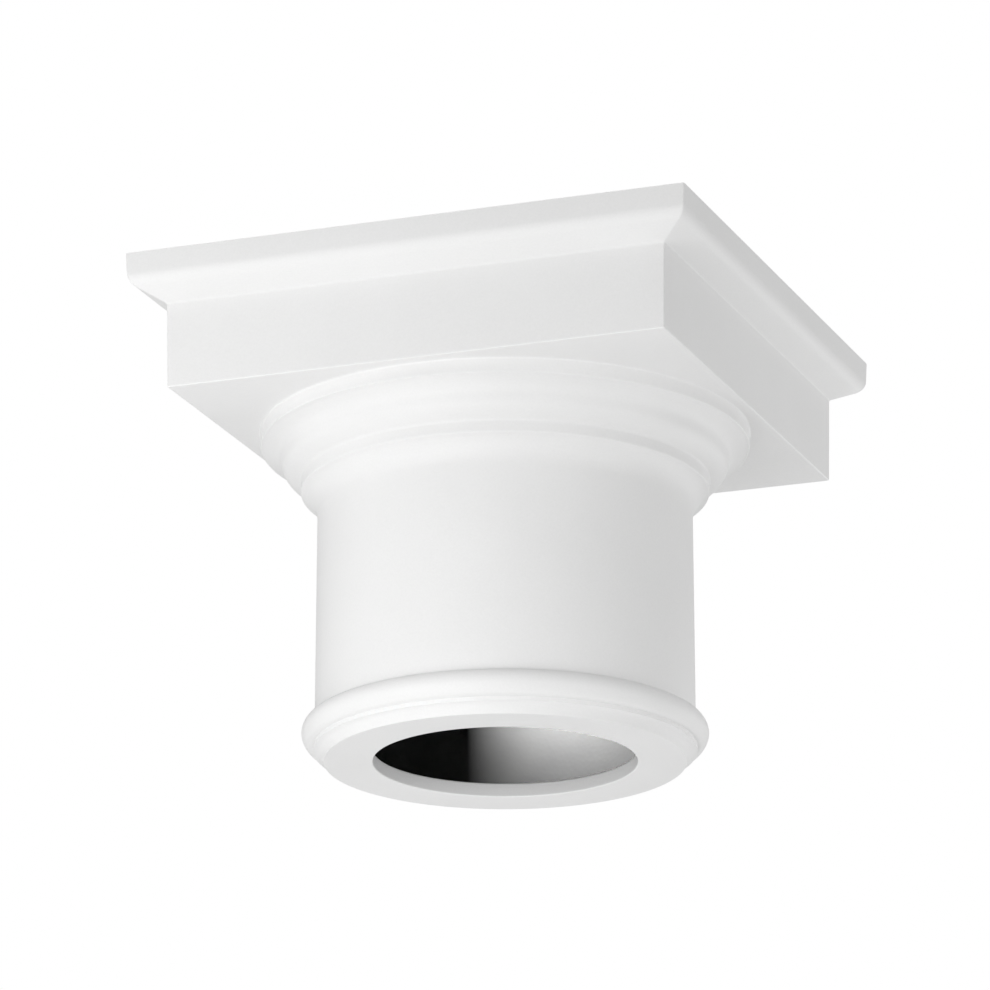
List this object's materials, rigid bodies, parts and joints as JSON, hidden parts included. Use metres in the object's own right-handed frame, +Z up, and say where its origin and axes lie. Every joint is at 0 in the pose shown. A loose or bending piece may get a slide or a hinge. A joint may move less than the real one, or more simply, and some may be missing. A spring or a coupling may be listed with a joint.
{
  "type": "column capital",
  "caption": "Tuscan-style capital for a round column: square moulded abacus, turned echinus and plain neck over an astragal ring, hollow from below, painted white.",
  "frame": {"origin": "centre of the flat ring at the foot, on the surface the capital stands on", "axes": "+Z up along the axis of the neck, +X and +Y square to the sides of the abacus"},
  "size_m": [0.3084, 0.3084, 0.2512],
  "materials": {
    "white_paint": "white primer with a fine sprayed texture over cast rigid foam"
  },
  "bodies": {
    "root": {"capital": "white_paint"}
  },
  "joints": []
}
